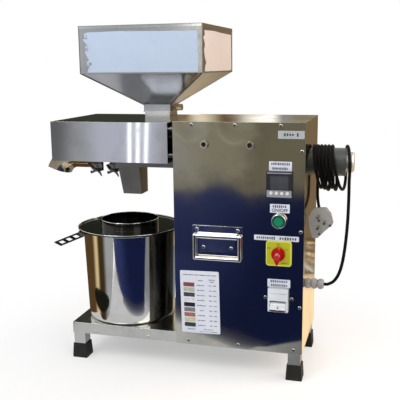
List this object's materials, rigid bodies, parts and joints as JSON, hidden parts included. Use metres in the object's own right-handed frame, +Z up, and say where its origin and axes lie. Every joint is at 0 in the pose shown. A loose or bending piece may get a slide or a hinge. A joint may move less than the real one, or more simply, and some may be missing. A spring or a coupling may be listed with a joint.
{
  "type": "oil_press",
  "caption": "Counter-top screw oil press: steel cabinet with controls and geared motor, heated barrel under a cover, hopper, cake chute, spout and sieve over a pot, mains lead with plug",
  "frame": {"origin": "on the floor, in the middle of the space that the press takes up without its mains lead", "axes": "+Z up and the longest extent, +Y to the rear and the shortest extent, +X to the operator's right"},
  "size_m": [0.6332, 0.2604, 0.671],
  "materials": {
    "satin_steel": "brushed",
    "mirror_steel": "polished",
    "film_steel": "satin",
    "sheet_steel": "satin",
    "rubber": "matte",
    "zinc_screw": "satin",
    "black_plastic": "matte",
    "display": "gloss",
    "white_key": "matte",
    "chrome": "polished",
    "green_button": "gloss",
    "yellow_plate": "matte",
    "red_knob": "gloss",
    "white_plastic": "gloss",
    "breaker_toggle": "gloss",
    "motor_paint": "satin",
    "cast_alloy": "matte",
    "gear_steel": "satin",
    "barrel_steel": "satin",
    "heater_skin": "satin",
    "cord_sheath": "matte",
    "plug_grey": "matte",
    "plug_dark": "matte",
    "pin_brass": "satin"
  },
  "bodies": {
    "cabinet": {"base_tray": "satin_steel", "barrel_cover": "satin_steel", "cover_standoffs": "satin_steel", "rear_panel": "satin_steel", "top_panel": "satin_steel", "front_panel": "mirror_steel", "left_side_panel": "mirror_steel", "right_side_panel": "mirror_steel", "feed_neck": "sheet_steel", "oil_spout": "sheet_steel", "cake_chute": "sheet_steel", "handle_plate": "sheet_steel", "foot_front_left": "rubber", "foot_front_right": "rubber", "foot_rear_left": "rubber", "foot_rear_right": "rubber", "panel_screws": "zinc_screw", "gearbox_bolts": "zinc_screw", "breaker_screws": "zinc_screw", "handle_screws": "zinc_screw", "heater_clamps": "zinc_screw", "controller_case": "black_plastic", "heater_button_block": "black_plastic", "switch_block": "black_plastic", "controller_window": "display", "heater_button_collar": "chrome", "switch_plate": "yellow_plate", "breaker_body": "white_plastic", "motor_housing": "motor_paint", "motor_end_cap": "cast_alloy", "gearbox_case": "cast_alloy", "gearbox_cover": "cast_alloy", "press_barrel": "barrel_steel", "press_head": "barrel_steel", "heater_band_near": "heater_skin", "heater_band_far": "heater_skin", "cord_lead": "cord_sheath", "cord_winding": "cord_sheath", "cord_tail": "cord_sheath", "cable_gland": "cord_sheath", "plug_face": "plug_grey", "plug_back": "plug_dark", "plug_pins": "pin_brass"},
    "press_screw": {"press_screw": "gear_steel", "screw_gear": "gear_steel"},
    "idler_gear": {"idler_gear": "gear_steel"},
    "motor_rotor": {"motor_pinion": "gear_steel"},
    "switch_knob": {"switch_knob": "red_knob"},
    "heater_button": {"heater_button_cap": "green_button"},
    "key_1": {"controller_key_1": "white_key"},
    "key_2": {"controller_key_2": "white_key"},
    "key_3": {"controller_key_3": "white_key"},
    "key_4": {"controller_key_4": "white_key"},
    "breaker_lever": {"breaker_lever": "breaker_toggle"},
    "carry_bail": {"handle_bail": "chrome"},
    "hopper": {"hopper": "film_steel"},
    "hopper_knob": {"hopper_knob": "zinc_screw"},
    "oil_pot": {"oil_pot": "mirror_steel"},
    "sieve": {"sieve": "sheet_steel"}
  },
  "joints": [
    {"name": "screw_spin", "type": "hinge", "parent": "cabinet", "child": "press_screw", "pos_m": [-0.01437, 0.01221, 0.441], "axis": [1, 0, 0], "continuous": true},
    {"name": "idler_spin", "type": "hinge", "parent": "cabinet", "child": "idler_gear", "pos_m": [0.04563, 0.05768, 0.42959], "axis": [1, 0, 0], "continuous": true},
    {"name": "motor_spin", "type": "hinge", "parent": "cabinet", "child": "motor_rotor", "pos_m": [0.07563, 0.01221, 0.412], "axis": [1, 0, 0], "continuous": true},
    {"name": "switch_turn", "type": "hinge", "parent": "cabinet", "child": "switch_knob", "pos_m": [0.18963, -0.08779, 0.251], "axis": [0, 1, 0], "range_deg": [-60, 60]},
    {"name": "heater_press", "type": "slide", "parent": "cabinet", "child": "heater_button", "axis": [0, 1, 0], "range_m": [0, 0.003], "stiffness_N_per_m": 400},
    {"name": "key_1_press", "type": "slide", "parent": "cabinet", "child": "key_1", "axis": [0, 1, 0], "range_m": [0, 0.0008], "stiffness_N_per_m": 600},
    {"name": "key_2_press", "type": "slide", "parent": "cabinet", "child": "key_2", "axis": [0, 1, 0], "range_m": [0, 0.0008], "stiffness_N_per_m": 600},
    {"name": "key_3_press", "type": "slide", "parent": "cabinet", "child": "key_3", "axis": [0, 1, 0], "range_m": [0, 0.0008], "stiffness_N_per_m": 600},
    {"name": "key_4_press", "type": "slide", "parent": "cabinet", "child": "key_4", "axis": [0, 1, 0], "range_m": [0, 0.0008], "stiffness_N_per_m": 600},
    {"name": "breaker_throw", "type": "hinge", "parent": "cabinet", "child": "breaker_lever", "pos_m": [0.18963, -0.08879, 0.15], "axis": [-1, 0, 0], "range_deg": [0, 56]},
    {"name": "bail_swing", "type": "hinge", "parent": "cabinet", "child": "carry_bail", "pos_m": [0.07163, -0.09329, 0.278], "axis": [-1, 0, 0], "range_deg": [0, 95]},
    {"name": "hopper_lift", "type": "slide", "parent": "cabinet", "child": "hopper", "axis": [0, 0, 1], "range_m": [0, 0.06]},
    {"name": "knob_turn", "type": "hinge", "parent": "hopper", "child": "hopper_knob", "pos_m": [-0.03437, 0.01221, 0.5145], "axis": [1, 0, 0], "continuous": true},
    {"name": "pot_slide", "type": "slide", "parent": "cabinet", "child": "oil_pot", "axis": [0, -1, 0], "range_m": [0, 0.16]},
    {"name": "sieve_lift", "type": "slide", "parent": "oil_pot", "child": "sieve", "axis": [0, 0, 1], "range_m": [0, 0.034]}
  ],
  "couplings": [
    {"joint": "screw_spin", "follows": "idler_spin", "ratio": -0.2931},
    {"joint": "motor_spin", "follows": "idler_spin", "ratio": -3.5882}
  ]
}
